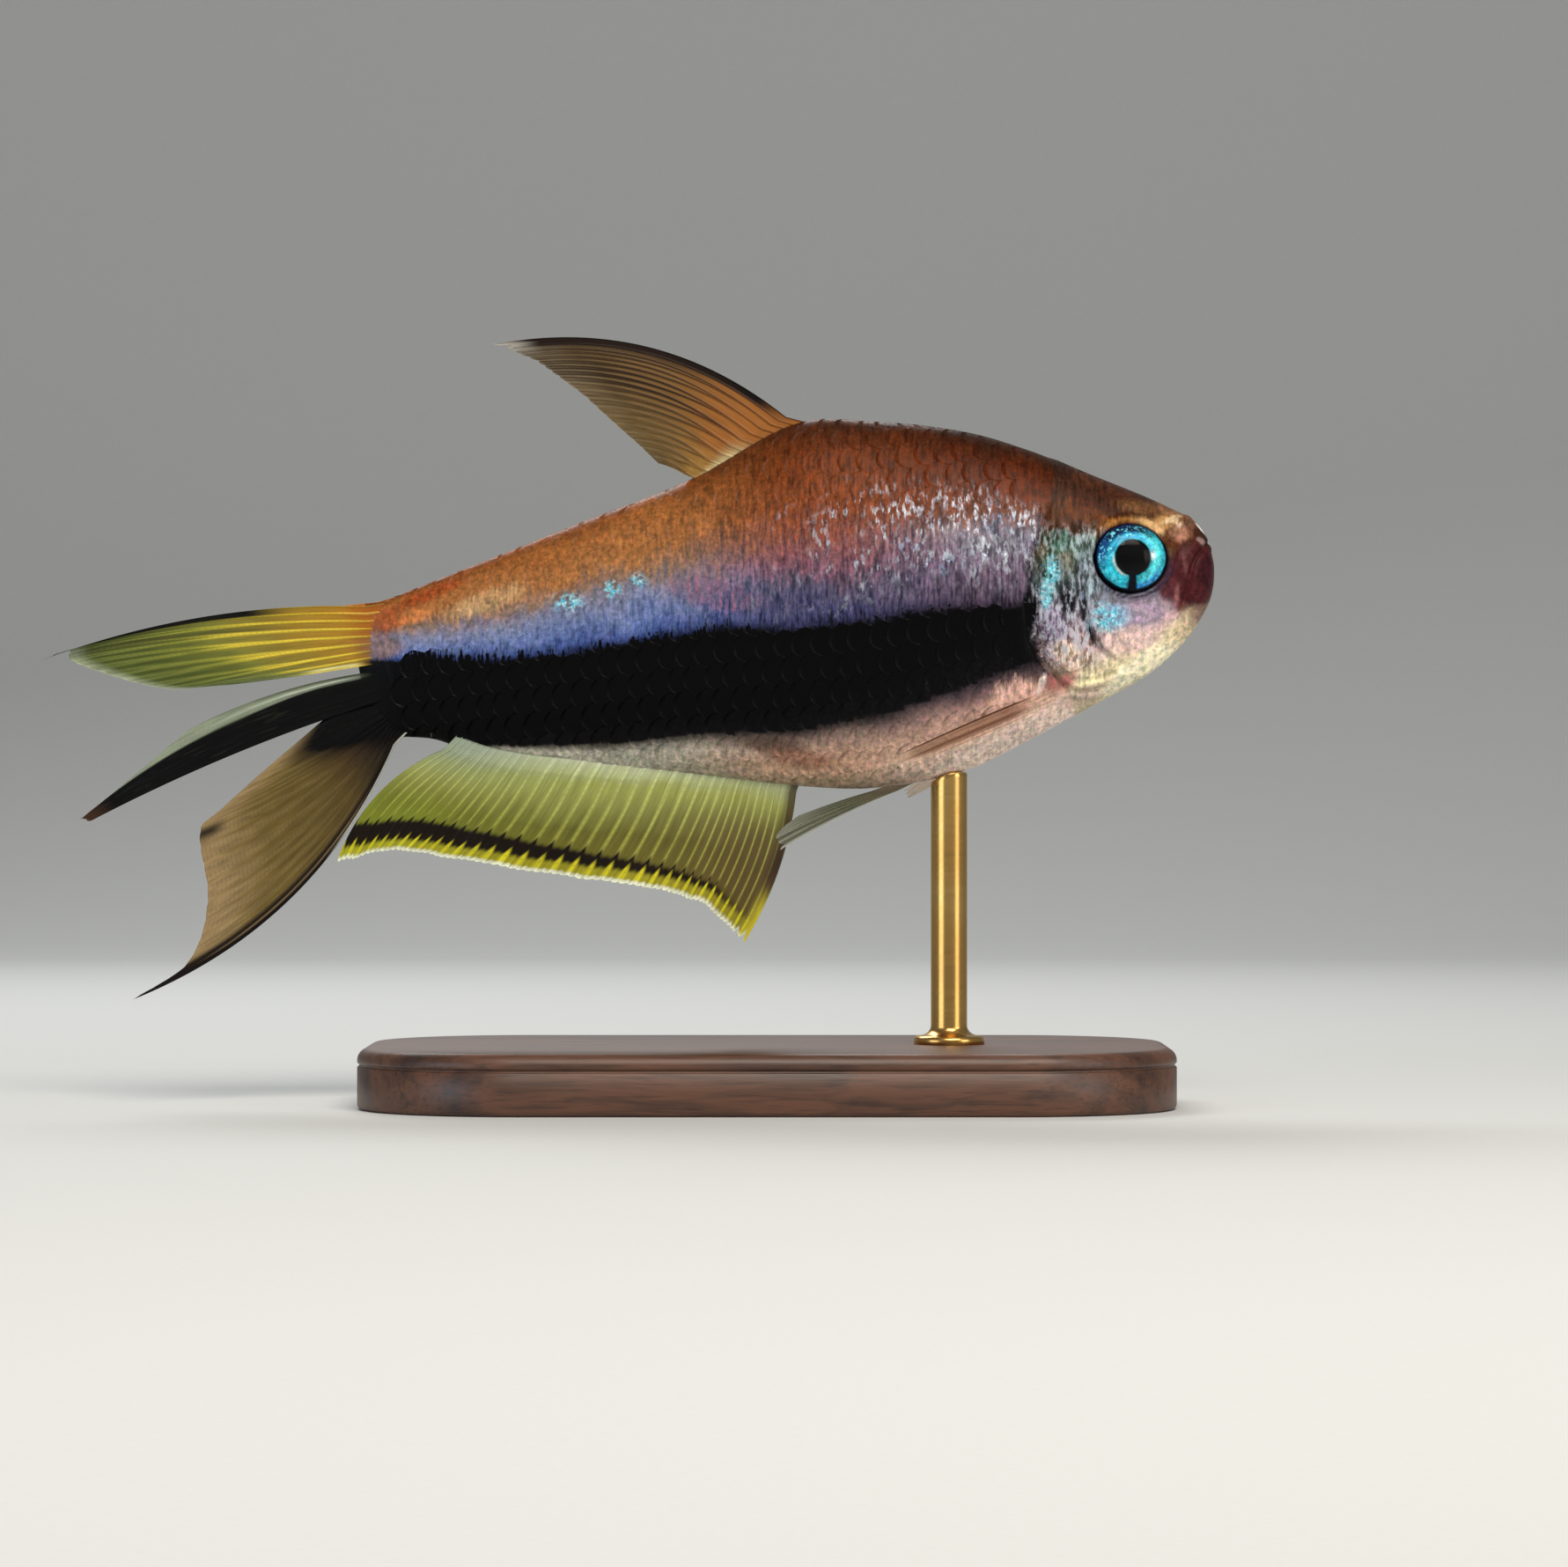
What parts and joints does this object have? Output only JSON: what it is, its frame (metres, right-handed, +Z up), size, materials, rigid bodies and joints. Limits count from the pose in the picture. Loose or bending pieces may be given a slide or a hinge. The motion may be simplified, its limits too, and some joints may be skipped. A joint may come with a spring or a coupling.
{
  "type": "fish model",
  "caption": "Life-size adult male emperor tetra with a deep compressed body, crescent tail, trailing dorsal and fringed anal fin, held level by a rod on a flat display base.",
  "frame": {"origin": "middle of the whole object's box, at the underside of the stand", "axes": "+X towards the fish's snout, +Y towards its left flank, +Z up"},
  "size_m": [0.0582, 0.023, 0.038],
  "materials": {
    "head_skin": "moist satin skin",
    "body_skin": "moist satin scales",
    "tail_skin": "moist satin scales",
    "gill_cover": "silvery, iridescent",
    "eye": "wet gloss",
    "dorsal_fin": "satin",
    "anal_fin": "satin",
    "caudal_fin_upper": "satin",
    "caudal_fin_middle": "satin",
    "caudal_fin_lower": "satin",
    "pelvic_fin": "satin",
    "pectoral_fin": "satin",
    "stand_base": "dark satin varnish",
    "stand_rod": "polished"
  },
  "bodies": {
    "root": {"head": "head_skin", "torso": "body_skin", "tail": "tail_skin", "gill_cover_right": "gill_cover", "gill_cover_left": "gill_cover", "eye_right": "eye", "eye_left": "eye", "dorsal_fin": "dorsal_fin", "anal_fin": "anal_fin", "caudal_fin_upper": "caudal_fin_upper", "caudal_fin_middle": "caudal_fin_middle", "caudal_fin_lower": "caudal_fin_lower", "pelvic_fin_right": "pelvic_fin", "pelvic_fin_left": "pelvic_fin", "pectoral_fin_right": "pectoral_fin", "pectoral_fin_left": "pectoral_fin", "stand_base": "stand_base", "stand_rod": "stand_rod"}
  },
  "joints": []
}
